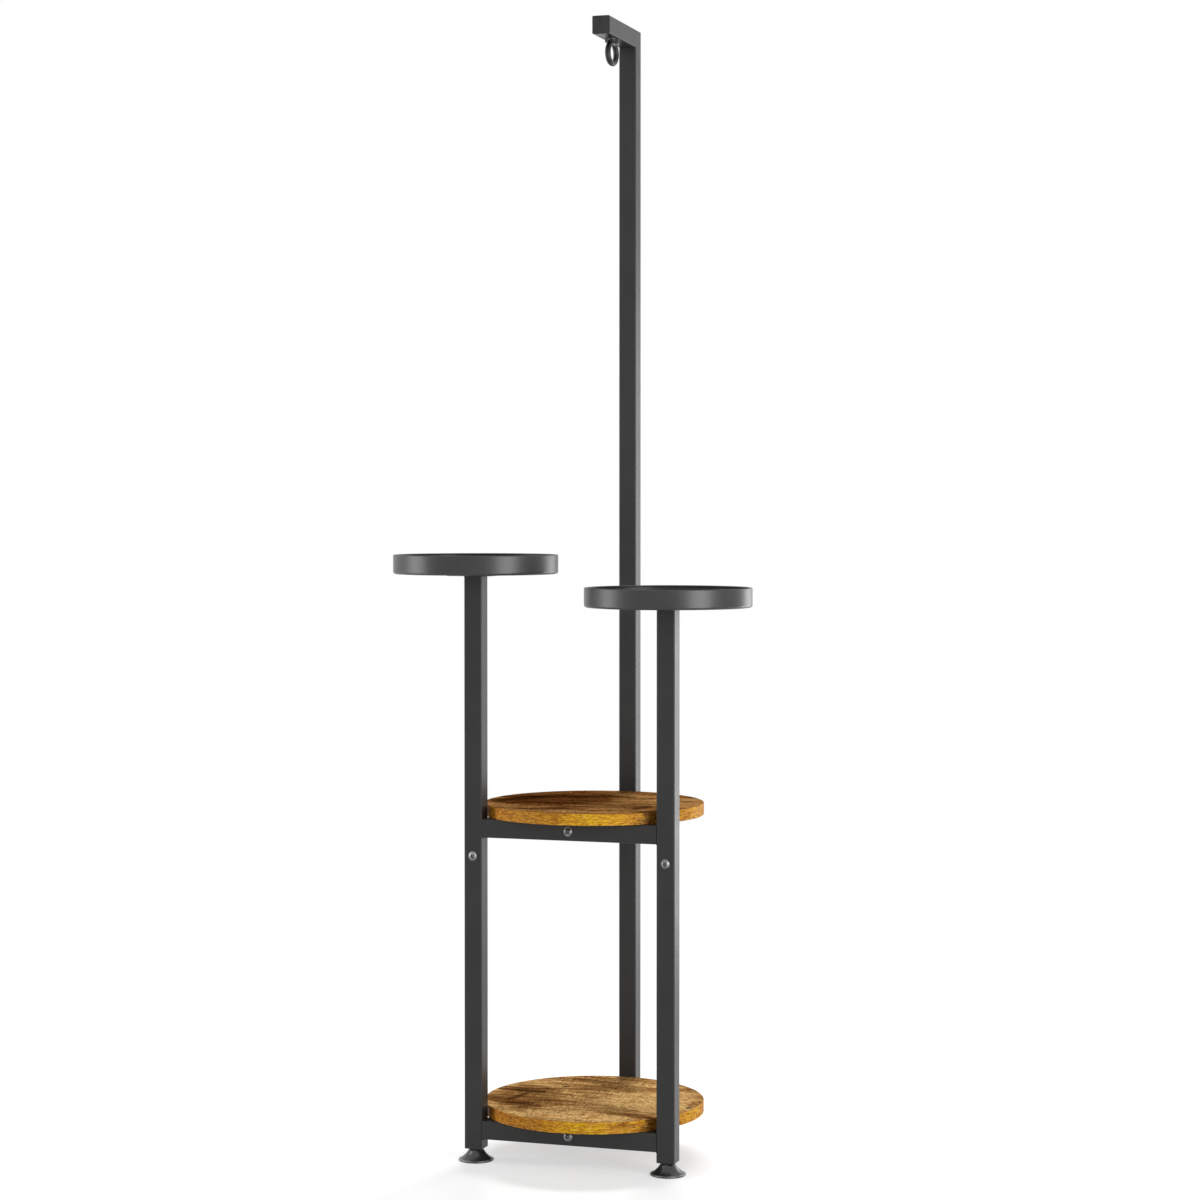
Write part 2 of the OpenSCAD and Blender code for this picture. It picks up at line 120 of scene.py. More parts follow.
@dataclass(frozen=True)
class Layer:
    """One layer of noise in a finish, with one cell length or one for each axis.

    Detail says how many finer layers lie in it, rough how strong they are, and bend how far it is warped.
    """

    cell: Point | float
    detail: float
    rough: float
    bend: float = 0.0
    start: Point = (0, 0, 0)
    turn: float = 0.0


class Mix:
    """A material in the making, with short ways to add and join its nodes."""

    def __init__(self, name: str) -> None:
        """Starts a material with a Principled shader and the object's own coordinates.

        Args:
            name: the material's name.
        """
        self.material = bpy.data.materials.new(name)
        self.material.use_nodes = True
        self.tree = self.material.node_tree
        self.shader = self.tree.nodes["Principled BSDF"]
        self.place = self.tree.nodes.new("ShaderNodeTexCoord").outputs["Object"]

    def add(self, kind: str, joins: dict[str | int, object], **settings: object) -> bpy.types.Node:
        """Adds a node, sets its options and fills or joins its inputs.

        Args:
            kind: the node's type.
            joins: a value or a socket for each input, by name or number.
            settings: the node's own options.

        Returns:
            The new node.
        """
        node = self.tree.nodes.new(kind)
        for key, value in settings.items():
            setattr(node, key, value)
        for key, value in joins.items():
            if isinstance(value, Socket):
                self.tree.links.new(value, node.inputs[key])
            else:
                node.inputs[key].default_value = value
        return node

    def level(self, name: str, value: float) -> None:
        """Sets an input of the shader to one value all over."""
        self.shader.inputs[name].default_value = value

    def into(self, name: str, value: Socket) -> None:
        """Joins a socket to an input of the shader."""
        self.tree.links.new(value, self.shader.inputs[name])

    def math(self, operation: str, a: object, b: object = 0.0, c: object = 0.0) -> Socket:
        """Adds a Math node and returns its result."""
        return self.add("ShaderNodeMath", {0: a, 1: b, 2: c}, operation=operation).outputs[0]

    def weigh(self, a: Socket, a_share: float, b: Socket, b_share: float) -> Socket:
        """Adds two values, each by its share."""
        return self.math("MULTIPLY_ADD", a, a_share, self.math("MULTIPLY", b, b_share))

    def away(self, value: Socket, mark: float) -> Socket:
        """Measures how far a value is from a mark, either way."""
        return self.math("ABSOLUTE", self.math("SUBTRACT", value, mark))

    def length(self, vector: Socket) -> Socket:
        """Measures a vector's length."""
        return self.add("ShaderNodeVectorMath", {0: vector}, operation="LENGTH").outputs["Value"]

    def split(self, vector: Socket) -> bpy.types.NodeOutputs:
        """Gives a vector's three parts."""
        return self.add("ShaderNodeSeparateXYZ", {0: vector}).outputs

    def gather(self, x: object = 0.0, y: object = 0.0, z: object = 0.0) -> Socket:
        """Makes a vector of three parts."""
        return self.add("ShaderNodeCombineXYZ", {0: x, 1: y, 2: z}).outputs[0]

    def cells(
        self, vector: Socket, size: Point = (1, 1, 1), centre: Point = (0, 0, 0), turn: float = 0.0
    ) -> Socket:
        """Measures a place in cells, from a centre and along turned axes.

        Args:
            vector: the place.
            size: the cell's size on each turned axis, in metres.
            centre: where the cells are counted from.
            turn: the axes' angle about Z in degrees.

        Returns:
            The place in cells.
        """
        spun = (0, 0, math.radians(turn))
        joins = {"Vector": vector, "Scale": size, "Location": centre, "Rotation": spun}
        return self.add("ShaderNodeMapping", joins, vector_type="TEXTURE").outputs[0]

    def noise(self, layer: Layer, place: Socket | None = None) -> Socket:
        """Adds a layer of noise.

        Args:
            layer: the layer.
            place: where it is read, or None for the object's own coordinates.

        Returns:
            The noise, from 0 to 1.
        """
        vector, scale = self.place if place is None else place, 1.0
        if isinstance(layer.cell, float):
            scale = 1.0 / layer.cell
        else:
            vector = self.cells(vector, layer.cell, layer.start, layer.turn)
        joins = {"Vector": vector, "Scale": scale, "Detail": layer.detail, "Roughness": layer.rough}
        joins["Distortion"] = layer.bend
        return self.add("ShaderNodeTexNoise", joins).outputs[0]

    def range(
        self, value: Socket, low: float, high: float, to_low: float = 0.0, to_high: float = 1.0
    ) -> Socket:
        """Maps a value softly, so that low gives to_low, high gives to_high and no value passes them."""
        joins = {0: value, 1: low, 2: high, 3: to_low, 4: to_high}
        return self.add("ShaderNodeMapRange", joins, interpolation_type="SMOOTHSTEP").outputs[0]

    def blend(self, share: object, a: object, b: object, how: str = "MIX") -> Socket:
        """Blends two colours.

        Args:
            share: how much of the second colour there is.
            a: the first colour or socket.
            b: the second colour or socket.
            how: the way of blending, such as MULTIPLY.

        Returns:
            The blended colour.
        """
        joins = {0: share, 6: self._colour(a), 7: self._colour(b)}
        mixer = self.add("ShaderNodeMix", joins, data_type="RGBA", blend_type=how, clamp_result=True)
        return mixer.outputs[2]

    def stain(self, share: Socket, colour: Socket, stain: Stain) -> Socket:
        """Lays a stain over a colour, as far as the share says."""
        return self.blend(share, colour, stain.value, "MULTIPLY")

    def bump(self, height: Socket, depth: float, under: Socket | None = None) -> Socket:
        """Adds a bump.

        Args:
            height: the height, from 0 to 1.
            depth: what a height of 1 is, in metres.
            under: the normal of another bump that this one lies on.

        Returns:
            The bent normal.
        """
        joins = {"Height": height, "Distance": depth, "Strength": 1.0}
        if under is not None:
            joins["Normal"] = under
        return self.add("ShaderNodeBump", joins).outputs[0]

    @staticmethod
    def _colour(value: object) -> object:
        """Gives a plain colour its alpha and leaves a socket as it is."""
        return value if isinstance(value, Socket) else (*value, 1.0)


def seen_rays(tree: bpy.types.NodeTree) -> Socket:
    """Tells the rays that show a thing from the rays that light one.

    Args:
        tree: the nodes of a material or of the world.

    Returns:
        1 for camera, glossy and transmission rays, and 0 for the rest.
    """
    rays = tree.nodes.new("ShaderNodeLightPath").outputs
    seen = rays["Is Camera Ray"]
    for name in ("Is Glossy Ray", "Is Transmission Ray"):
        either = tree.nodes.new("ShaderNodeMath")
        either.operation = "MAXIMUM"
        tree.links.new(seen, either.inputs[0])
        tree.links.new(rays[name], either.inputs[1])
        seen = either.outputs[0]
    return seen


@dataclass(frozen=True)
class PowderCoat:
    """Sprayed and baked coat with soft clouds in its black and a fine orange peel on a long swell."""

    name: str = "black_powder_coat"
    dark: Colour = (0.0215, 0.0213, 0.0209)
    light: Colour = (0.032, 0.0316, 0.0308)
    gloss: Pair = (0.3, 0.4)
    index: float = 1.4
    cell: float = 0.9 * MM
    peel: float = 0.012 * MM
    clouds: Layer = Layer(1 / 16, 4.0, 0.6)
    swell: Layer = Layer(1 / 60, 2.0, 0.5)
    swell_depth: float = 2.5
    speckle_cell: float = 1 / 0.7
    speckle_share: float = 0.45
    tones: Span = (0.32, 0.68)

    def build(self) -> Material:
        """Makes the material.

        Returns:
            The material.
        """
        mix = Mix(self.name)
        mix.level("IOR", self.index)
        speckle = mix.noise(Layer(self.cell * self.speckle_cell, 2.0, 0.5))
        share = mix.weigh(speckle, self.speckle_share, mix.noise(self.clouds), 1.0 - self.speckle_share)
        mix.into("Base Color", mix.blend(mix.range(share, *self.tones), self.dark, self.light))
        mix.into("Roughness", mix.range(share, *MIDST, *self.gloss))
        swell = mix.bump(mix.noise(self.swell), self.peel * self.swell_depth)
        mix.into("Normal", mix.bump(mix.noise(Layer(self.cell, 2.0, 0.45)), self.peel, swell))
        return mix.material


@dataclass(frozen=True)
class ZincPlate:
    """Zinc on steel: fine turning lines, pale blooms and small pits, with painted shade in the sockets and
    round the heads.

    Sockets are given by the X and Z of their axes, which run along Y. Each fade is how wide the painted
    shade's border is at the socket's inner radius, at its outer one and at the rim.
    """

    name: str = "zinc_steel"
    dark: Colour = (0.135, 0.135, 0.138)
    light: Colour = (0.3, 0.3, 0.305)
    # Painted shade: the dark laid in the sockets' corners and round the heads' rims.
    painted_shade: Colour = (0.03, 0.028, 0.026)
    gloss: Pair = (0.3, 0.48)
    sockets: tuple[Pair, ...] = ()
    socket: Pair = (1.0 * MM, 2.7 * MM)
    rim: float = 6.0 * MM
    fades: Point = (0.7 * MM, 0.35 * MM, 0.8 * MM)
    rim_shade: float = 0.9
    ragged: float = 0.5 * MM
    bloom: Layer = Layer((4 * MM, 4 * MM, 4 * MM), 4.0, 0.6)
    lines: Layer = Layer((1.1 * MM, 1.1 * MM, 0.2 * MM), 2.0, 0.5)
    pits: Layer = Layer(1 / 1500, 2.0, 0.5)
    line_share: float = 0.4
    line_depth: float = 0.004 * MM
    pit_depth: float = 0.01 * MM
    tones: Span = (0.35, 0.65)

    def build(self) -> Material:
        """Makes the material.

        Returns:
            The material.
        """
        mix = Mix(self.name)
        bloom = mix.noise(self.bloom)
        lines = mix.noise(self.lines)
        colour = mix.blend(mix.range(bloom, *self.tones), self.dark, self.light)
        if self.sockets:
            # Painted shade in the sockets and round the heads, laid as a dark non-metal.
            shade_mask = self._painted_shade_mask(mix, bloom)
            colour = mix.blend(shade_mask, colour, self.painted_shade)
            mix.into("Metallic", mix.math("SUBTRACT", 1.0, shade_mask))
        else:
            mix.level("Metallic", 1.0)
        mix.into("Base Color", colour)
        uneven = mix.weigh(bloom, 1.0 - self.line_share, lines, self.line_share)
        mix.into("Roughness", mix.range(uneven, *MIDST, *self.gloss))
        pits = mix.bump(mix.noise(self.pits), self.pit_depth)
        mix.into("Normal", mix.bump(lines, self.line_depth, pits))
        return mix.material

    def _painted_shade_mask(self, mix: Mix, bloom: Socket) -> Socket:
        """Masks the painted shade in the corners of the sockets and round the rims of the heads.

        Args:
            mix: the material.
            bloom: a noise that makes the outline uneven.

        Returns:
            How strong the painted shade is, from 0 to 1.
        """
        nearest: object = 1.0
        for x, z in self.sockets:
            away = mix.length(mix.cells(mix.place, (1, ENDLESS, 1), (x, 0, z)))
            nearest = mix.math("MINIMUM", nearest, away)
        reach = mix.math("MULTIPLY_ADD", bloom, self.ragged, nearest)
        inner, outer = self.socket
        inner_fade, outer_fade, rim_fade = self.fades
        corners = mix.math(
            "MULTIPLY",
            mix.range(reach, outer + outer_fade, outer),
            mix.range(reach, inner, inner + inner_fade),
        )
        rims = mix.range(reach, self.rim, self.rim + rim_fade, 0.0, self.rim_shade)
        return mix.math("MAXIMUM", corners, rims)


@dataclass(frozen=True)
class MouldedPlastic:
    """Black moulded plastic with flow streaks and a spark-etched skin.

    A lip at a given height carries a painted highlight, broken up by noise.
    """

    name: str
    dark: Colour = (0.019, 0.019, 0.0192)
    light: Colour = (0.032, 0.032, 0.0324)
    gloss: Pair = (0.22, 0.27)
    index: float = 1.62
    skin: float = 0.003 * MM
    lip: float | None = None
    # Painted highlight along the lip: its colour, then the noise that breaks it up and that noise's span.
    lip_highlight: Colour = (0.34, 0.34, 0.335)
    flow: Layer = Layer((14 * MM, 14 * MM, 55 * MM), 3.0, 0.6, 0.6)
    highlight_noise: Layer = Layer(1 / 90, 4.0, 0.6)
    haze: Layer = Layer(1 / 420, 3.0, 0.6)
    etch: Layer = Layer(1 / 2600, 2.0, 0.5)
    tones: Span = (0.35, 0.65)
    highlight_breakup: Span = (0.38, 0.58, 0.35, 0.95)
    lip_fade: Span = (0.7 * MM, 0.2 * MM)

    def build(self) -> Material:
        """Makes the material.

        Returns:
            The material.
        """
        mix = Mix(self.name)
        mix.level("IOR", self.index)
        colour = mix.blend(mix.range(mix.noise(self.flow), *self.tones), self.dark, self.light)
        if self.lip is not None:
            # Painted highlight along the foot's lip.
            on_lip = mix.range(mix.away(mix.split(mix.place)[2], self.lip), *self.lip_fade)
            highlight_breakup = mix.range(mix.noise(self.highlight_noise), *self.highlight_breakup)
            colour = mix.blend(mix.math("MULTIPLY", on_lip, highlight_breakup), colour, self.lip_highlight)
        mix.into("Base Color", colour)
        mix.into("Roughness", mix.range(mix.noise(self.haze), *MIDST, *self.gloss))
        mix.into("Normal", mix.bump(mix.noise(self.etch), self.skin))
        return mix.material


@dataclass(frozen=True)
class Stroke:
    """A frayed stroke in a board's colour: most are stains in its print, a few are painted shadows and
    painted highlights.

    It is centred on x and y, turned by an angle from X, and fades near its half length and half width.
    The softer it is, the wider the fade.
    """

    stain: Stain
    x: float
    y: float
    length: float
    width: float
    turn: float = 0.0
    depth: float = 0.8
    soft: float = 0.28
    fray: Layer = Layer((0.75, 0.16, 1), 5.0, 0.62)
    fray_reach: float = 2.6

    def mask(self, mix: Mix, place: Socket) -> Socket:
        """Masks the stroke, with its outline frayed along its length.

        Args:
            mix: the material.
            place: the place on the board.

        Returns:
            How strong the stroke is, from 0 to 1.
        """
        size = (self.length * MM, self.width * MM, ENDLESS)
        inside = mix.cells(place, size, (self.x * MM, self.y * MM, 0), self.turn)
        fray = mix.math("MULTIPLY_ADD", mix.noise(self.fray, inside), self.fray_reach, -self.fray_reach / 2)
        frayed = mix.math("ADD", mix.length(inside), fray)
        return mix.range(frayed, 1.0, 1.0 - self.soft, 0.0, self.depth)


@dataclass(frozen=True)
class SawMarks:
    """Saw marks in one direction, strongest in patches near one place along X."""

    turn: float
    x: float
    cell: Point = (0.018, 0.0023, 1)
    patch: Point = (0.045, 0.03, 1)
    near: Span = (0.12, 0.02, -0.12, 0.12)
    strong: Span = (0.42, 0.54, 0.1, 1.0)
    cut: Span = (0.5, 0.44)
    ridge: Span = (0.53, 0.6)

    def draw(self, mix: Mix, place: Socket) -> tuple[Socket, Socket]:
        """Draws the marks.

        Args:
            mix: the material.
            place: the place on the board.

        Returns:
            How strong the dark cuts and the pale ridges between them are, from 0 to 1.
        """
        lines = mix.noise(Layer(self.cell, 4.0, 0.62, 1.0, turn=self.turn), place)
        patches = mix.noise(Layer(self.patch, 4.0, 0.6, start=(self.turn, self.x, 0)), place)
        near = mix.range(mix.away(mix.split(place)[0], self.x), *self.near)
        share = mix.range(mix.math("ADD", patches, near), *self.strong)
        cuts = mix.math("MULTIPLY", mix.range(lines, *self.cut), share)
        return cuts, mix.math("MULTIPLY", mix.range(lines, *self.ridge), share)


@dataclass(frozen=True)
class Laminate:
    """The printed face of a board: old timber with grain, stains and saw marks. A stroke can also lay a
    painted shadow.
    """

    strokes: tuple[Stroke, ...]
    tan: Colour = (0.76, 0.49, 0.195)
    brown: Colour = (0.39, 0.205, 0.072)
    shade: float = 0.5
    warp: Layer = Layer((0.16, 0.09, 1), 3.0, 0.5)
    warp_reach: float = 0.03
    grain: Layer = Layer((0.085, 0.0075, 1), 9.0, 0.68, 0.35)
    broad: Layer = Layer((0.2, 0.034, 1), 4.0, 0.58, 0.4, (0.31, 0.17, 0))
    fibre: Layer = Layer((0.022, 0.0016, 1), 5.0, 0.66)
    tint: Layer = Layer((0.034, 0.016, 1), 4.0, 0.62, start=(0.7, 0.3, 0))
    grain_tones: Span = (0.41, 0.57)
    broad_dark: Span = (0.56, 0.4)
    fibre_dark: Span = (0.49, 0.4, 0.0, 0.6)
    tint_red: Span = (0.53, 0.64, 0.0, 0.8)
    saws: tuple[SawMarks, SawMarks] = (SawMarks(94.0, -0.03), SawMarks(-47.0, 0.11))
    ridge_share: float = 0.55
    cut_share: float = 0.75
    cut_relief: float = 0.35
    reliefs: Pair = (0.4, 0.5)

    def draw(self, mix: Mix, place: Socket) -> tuple[Socket, Socket]:
        """Draws the print.

        Args:
            mix: the material.
            place: the place, measured from the board's middle.

        Returns:
            The colour and the relief.
        """
        drift = mix.gather(0.0, mix.math("MULTIPLY", mix.noise(self.warp, place), self.warp_reach))
        bent = mix.add("ShaderNodeVectorMath", {0: place, 1: drift}, operation="ADD").outputs[0]
        grain = mix.noise(self.grain, bent)
        fibre = mix.noise(self.fibre, bent)
        colour = mix.blend(mix.range(grain, *self.grain_tones), self.brown, self.tan)
        broad = mix.range(mix.noise(self.broad, bent), *self.broad_dark, 0.0, self.shade)
        colour = mix.stain(broad, colour, Stain.BROWN)
        for stroke in self.strokes:
            mask = stroke.mask(mix, place)
            if stroke.stain is Stain.BLEACH:
                colour = mix.blend(mask, colour, self.tan)
            else:
                colour = mix.stain(mask, colour, stroke.stain)
        colour = mix.stain(mix.range(fibre, *self.fibre_dark), colour, Stain.BROWN)
        colour = mix.stain(mix.range(mix.noise(self.tint, bent), *self.tint_red), colour, Stain.RUSSET)
        (cuts, ridges), (more_cuts, more_ridges) = (saw.draw(mix, bent) for saw in self.saws)
        cuts = mix.math("MAXIMUM", cuts, more_cuts)
        ridges = mix.math("MAXIMUM", ridges, more_ridges)
        colour = mix.stain(mix.math("MULTIPLY", ridges, self.ridge_share), colour, Stain.BLEACH)
        colour = mix.stain(mix.math("MULTIPLY", cuts, self.cut_share), colour, Stain.BROWN)
        relief = mix.weigh(fibre, self.reliefs[0], grain, self.reliefs[1])
        return colour, mix.math("SUBTRACT", relief, mix.math("MULTIPLY", cuts, self.cut_relief))


@dataclass(frozen=True)
class EdgeBand:
    """The golden band round a board. Its grain runs round the board and its butt joint is at the back. Some
    of its strokes are painted highlights towards the lamps and painted shade by the legs.
    """

    strokes: tuple[Stroke, ...]
    gold: Colour = (0.88, 0.395, 0.036)
    rust: Colour = (0.45, 0.155, 0.017)
    pale: Colour = (0.92, 0.52, 0.15)
    grain: Layer = Layer((0.012, 0.002, 1), 6.0, 0.72, 0.5)
    blots: Layer = Layer((0.011, 0.0042, 1), 5.0, 0.68, 0.3, (0.4, 0.2, 3))
    pores: Layer = Layer((0.0052, 0.0012, 1), 5.0, 0.76)
    sweep: Layer = Layer((0.14, 1.0, 1), 2.0, 0.5, start=(0.9, 0, 2))
    grain_tones: Span = (0.42, 0.6)
    blot_rust: Span = (0.5, 0.36, 0.0, 0.75)
    sweep_dark: Span = (0.46, 0.34, 0.0, 0.3)
    blot_gold: Span = (0.54, 0.66, 0.0, 0.6)
    pore_dark: Span = (0.48, 0.38, 0.0, 0.85)
    pore_pale: Span = (0.54, 0.63, 0.0, 0.8)
    lower_rim: Span = (1.3 * MM, 0.6 * MM, 0.0, 0.6)
    unlike: float = 30.0
    reliefs: Pair = (0.5, 0.5)

    def draw(
        self, mix: Mix, axes: bpy.types.NodeOutputs, radius: float, foot: float
    ) -> tuple[Socket, Socket]:
        """Draws the band.

        Args:
            mix: the material.
            axes: the place, measured from the board's middle, axis by axis.
            radius: the board's radius.
            foot: the height of the board's underside, which also makes each board's grain its own.

        Returns:
            The colour and the relief.
        """
        from_front = mix.math("ARCTAN2", axes[0], mix.math("MULTIPLY", axes[1], -1.0))
        strip = mix.gather(mix.math("MULTIPLY", from_front, radius), axes[2], foot * self.unlike)
        grain = mix.noise(self.grain, strip)
        blots = mix.noise(self.blots, strip)
        pores = mix.noise(self.pores, strip)
        sweep = mix.noise(self.sweep, strip)
        colour = mix.blend(mix.range(grain, *self.grain_tones), self.rust, self.gold)
        colour = mix.blend(mix.range(blots, *self.blot_rust), colour, self.rust)
        colour = mix.stain(mix.range(sweep, *self.sweep_dark), colour, Stain.BROWN)
        colour = mix.stain(mix.range(blots, *self.blot_gold), colour, Stain.GILD)
        for stroke in self.strokes:
            colour = mix.stain(stroke.mask(mix, strip), colour, stroke.stain)
        colour = mix.stain(mix.range(pores, *self.pore_dark), colour, Stain.BROWN)
        colour = mix.blend(mix.range(pores, *self.pore_pale), colour, self.pale)
        colour = mix.stain(mix.range(axes[2], *self.lower_rim), colour, Stain.BLEACH)
        return colour, mix.weigh(pores, self.reliefs[0], grain, self.reliefs[1])


@dataclass(frozen=True)
class RusticBoard:
    """A round board: laminate on its faces and a band round its edge, with a dark seam between them."""

    name: str
    foot: float
    face: Laminate
    edge: EdgeBand
    radius: float = 150 * MM
    band: float = 0.5 * MM
    blur: float = 0.1 * MM
    seam_off: float = 0.2 * MM
    seam_dark: Span = (0.35 * MM, 0.1 * MM, 0.0, 0.35)
    edge_specular: float = 0.12
    sheens: Span = (0.2, 0.8, 0.66, 0.5)
    depth: float = 0.1 * MM

    def build(self) -> Material:
        """Makes the material.

        Returns:
            The material.
        """
        mix = Mix(self.name)
        local = mix.cells(mix.place, centre=(0.0, BOARD_Y, self.foot))
        axes = mix.split(local)
        reach = mix.length(mix.gather(axes[0], axes[1]))
        seam = self.radius - self.band
        on_edge = mix.range(reach, seam - self.blur, seam + self.blur)
        face, face_relief = self.face.draw(mix, local)
        side, side_relief = self.edge.draw(mix, axes, self.radius, self.foot)
        on_seam = mix.range(mix.away(reach, seam - self.seam_off), *self.seam_dark)
        mix.into("Base Color", mix.stain(on_seam, mix.blend(on_edge, face, side), Stain.UMBER))
        height = mix.add("ShaderNodeMix", {0: on_edge, 2: face_relief, 3: side_relief}).outputs[0]
        mix.into("Specular IOR Level", mix.math("MULTIPLY", on_edge, self.edge_specular))
        mix.into("Roughness", mix.range(height, *self.sheens))
        mix.into("Normal", mix.bump(height, self.depth))
        return mix.material


@dataclass(frozen=True)
class FloorSheet:
    """Pale studio floor that keeps the stand's shadow and fades into the white round it."""

    name: str = "studio_floor"
    colour: Colour = (0.5, 0.5, 0.497)
    faint: float = 0.985
    mottle: Layer = Layer(1 / 9, 3.0, 0.5)
    rough: float = 0.9
    specular: float = 0.1
    lift: float = 0.565
    clear: Pair = (0.45, 1.1)

    def build(self) -> Material:
        """Makes the material.

        Returns:
            The material.
        """
        mix = Mix(self.name)
        mix.level("Roughness", self.rough)
        mix.level("Specular IOR Level", self.specular)
        darker = tuple(self.faint * part for part in self.colour)
        mix.into("Base Color", mix.blend(mix.noise(self.mottle), self.colour, darker))
        seen = seen_rays(mix.tree)
        lift = mix.add("ShaderNodeEmission", {"Strength": mix.math("MULTIPLY", seen, self.lift)}).outputs[0]
        lit = mix.add("ShaderNodeAddShader", {0: mix.shader.outputs[0], 1: lift}).outputs[0]
        white = mix.add("ShaderNodeEmission", {"Strength": 1.0}).outputs[0]
        share = mix.math("MULTIPLY", mix.range(mix.length(mix.place), *self.clear), seen)
        both = mix.add("ShaderNodeMixShader", {0: share, 1: lit, 2: white}).outputs[0]
        mix.tree.links.new(both, mix.tree.nodes["Material Output"].inputs["Surface"])
        return mix.material


# ---- work at the bench


class Bench:
    """The modelling steps that the pieces share."""

    @staticmethod
    def clear() -> None:
        """Leaves edit mode and deselects everything."""
        if bpy.context.object is not None and bpy.context.object.mode != "OBJECT":
            Bench.leave()
        bpy.ops.object.select_all(action="DESELECT")

    @staticmethod
    def only(piece: Object) -> None:
        """Selects one object alone and makes it active.

        Args:
            piece: the object.
        """
        Bench.clear()
        piece.select_set(True)
        bpy.context.view_layer.objects.active = piece

    @staticmethod
    def edit(piece: Object, action: str = "SELECT") -> None:
        """Opens an object in edit mode, with all or none of it selected.

        Args:
            piece: the object.
            action: SELECT or DESELECT.
        """
        Bench.only(piece)
        bpy.ops.object.mode_set(mode="EDIT")
        bpy.ops.mesh.select_all(action=action)

    @staticmethod
    def leave() -> None:
        """Goes back from edit mode."""
        bpy.ops.object.mode_set(mode="OBJECT")

    @staticmethod
    def settle(piece: Object) -> None:
        """Moves an object's place, turn and size into its mesh."""
        Bench.only(piece)
        bpy.ops.object.transform_apply(location=True, rotation=True, scale=True)

    @staticmethod
    def close(piece: Object, doubles: float = 0.001 * MM) -> None:
        """Merges doubled points, closes open ends and turns the faces outwards.

        Args:
            piece: the object.
            doubles: how near two points are merged.
        """
        Bench.edit(piece)
        bpy.ops.mesh.remove_doubles(threshold=doubles)
        bpy.ops.mesh.select_all(action="SELECT")
        bpy.ops.mesh.fill_holes(sides=0)
        bpy.ops.mesh.select_all(action="SELECT")
        bpy.ops.mesh.normals_make_consistent(inside=False)
        Bench.leave()

    @staticmethod
    def copies(piece: Object, places: list[Matrix]) -> list[Object]:
        """Copies an object to several places, each copy with its own mesh, and drops the first.

        Args:
            piece: the object to copy.
            places: where each copy goes.

        Returns:
            The copies.
        """
        made = []
        for place in places:
            copy = piece.copy()
            copy.data = piece.data.copy()
            copy.matrix_world = place
            bpy.context.scene.collection.objects.link(copy)
            made.append(copy)
        bpy.data.objects.remove(piece)
        return made

    @staticmethod
    def join(pieces: list[Object], name: str) -> Object:
        """Joins objects into one at the origin.

        Args:
            pieces: the objects.
            name: the name of the whole.

        Returns:
            The joined object.
        """
        Bench.clear()
        for piece in pieces:
            piece.select_set(True)
        bpy.context.view_layer.objects.active = pieces[0]
        bpy.ops.object.join()
        whole = bpy.context.object
        whole.name = whole.data.name = name
        Bench.settle(whole)
        return whole

    @staticmethod
    def smooth(piece: Object, angle: float) -> None:
        """Shades an object smooth up to an angle in degrees."""
        Bench.only(piece)
        bpy.ops.object.shade_smooth_by_angle(angle=math.radians(angle))

    @staticmethod
    def fit(piece: Object, body: Body, slot: Slot, finish: Material, *nodes: str) -> None:
        """Dresses a finished piece and sets it on its body.

        Args:
            piece: the object.
            body: the body that it rides on.
            slot: the record's finish.
            finish: the material.
            nodes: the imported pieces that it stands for.
        """
        piece.data.materials.clear()
        piece.data.materials.append(finish)
        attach(piece, body.value)
        if nodes:
            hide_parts(*nodes)
        log.info("%s: %d faces, %s on %s", piece.name, len(piece.data.polygons), slot.value, body.value)


@dataclass
class Dresser:
    """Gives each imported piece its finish."""

    left: set[str] = field(default_factory=lambda: set(frame["nodes"]))

    def dress(self, finish: Material, *starts: str) -> None:
        """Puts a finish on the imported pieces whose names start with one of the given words.

        Args:
            finish: the material.
            starts: how the names start.
        """
        for name in sorted(n for n in self.left if n.startswith(starts)):
            for place in frame["nodes"][name].material_slots:
                place.material = finish
            self.left.discard(name)
            log.info("%s: %s", name, finish.name)


# ---- sub-assemblies


